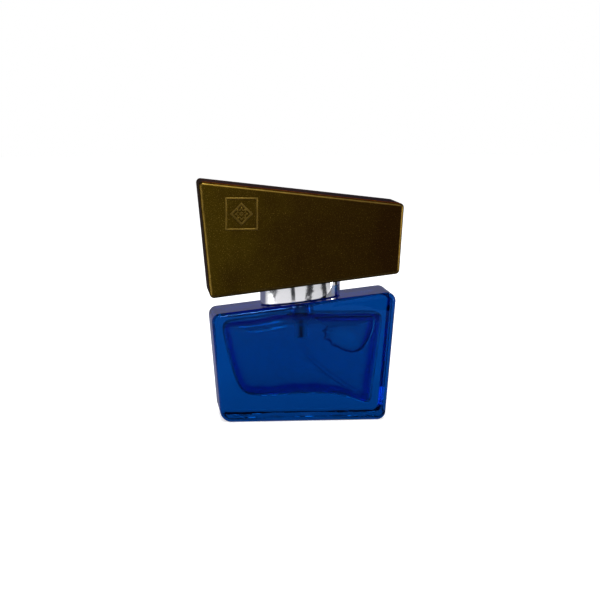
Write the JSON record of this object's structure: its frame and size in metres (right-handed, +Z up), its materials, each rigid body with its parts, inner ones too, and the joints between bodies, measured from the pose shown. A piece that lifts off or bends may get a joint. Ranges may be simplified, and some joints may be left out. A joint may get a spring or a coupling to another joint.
{
  "type": "aftershave bottle",
  "caption": "Slanted blue glass flask with a crimped spray pump, an oval bright collar and a wedge-shaped satin gold cap that lifts off.",
  "frame": {"origin": "centre of the flask's flat base, on the axis of its neck", "axes": "+X to the right seen from the front, +Y to the back, +Z up along the neck"},
  "size_m": [0.0844, 0.0318, 0.0995],
  "materials": {
    "blue_glass": "clear, tinted blue all over, glossy",
    "satin_gold": "metallised antique gold, satin with a fine grain",
    "bright_collar": "polished like chrome",
    "crimped_aluminium": "plain rolled",
    "spring_steel": "drawn wire",
    "natural_plastic": "moulded, slightly translucent",
    "black_plastic": "moulded",
    "clear_tube": "clear extruded",
    "seal_rubber": "matt"
  },
  "bodies": {
    "bottle": {"glass_bottle": "blue_glass", "crimp_ferrule": "crimped_aluminium", "neck_gasket": "seal_rubber", "pump_housing": "natural_plastic", "pump_turret": "natural_plastic", "stem_seal": "seal_rubber", "dip_tube": "clear_tube", "collar_shell": "bright_collar", "collar_liner": "black_plastic", "return_spring": "spring_steel"},
    "stem": {"pump_stem": "natural_plastic", "preload_spring": "spring_steel"},
    "piston": {"pump_piston": "natural_plastic"},
    "actuator": {"actuator_core": "natural_plastic", "actuator_sleeve": "bright_collar", "nozzle_insert": "natural_plastic"},
    "ball": {"inlet_ball": "spring_steel"},
    "cap": {"cap_shell": "satin_gold", "cap_insert": "black_plastic"}
  },
  "joints": [
    {"name": "cap_lift", "type": "slide", "parent": "bottle", "child": "cap", "axis": [0, 0, 1], "range_m": [0, 0.036]},
    {"name": "button_press", "type": "slide", "parent": "bottle", "child": "stem", "axis": [0, 0, -1], "range_m": [0, 0.0042], "stiffness_N_per_m": 1500, "deforming": ["return_spring"]},
    {"name": "actuator_spin", "type": "hinge", "parent": "stem", "child": "actuator", "pos_m": [0, 0, 0.0694], "axis": [0, 0, 1], "continuous": true},
    {"name": "piston_lift", "type": "slide", "parent": "stem", "child": "piston", "axis": [0, 0, 1], "range_m": [0, 0.0004], "stiffness_N_per_m": 500, "deforming": ["preload_spring"]},
    {"name": "ball_lift", "type": "slide", "parent": "bottle", "child": "ball", "axis": [0, 0, 1], "range_m": [0, 0.0008]}
  ]
}
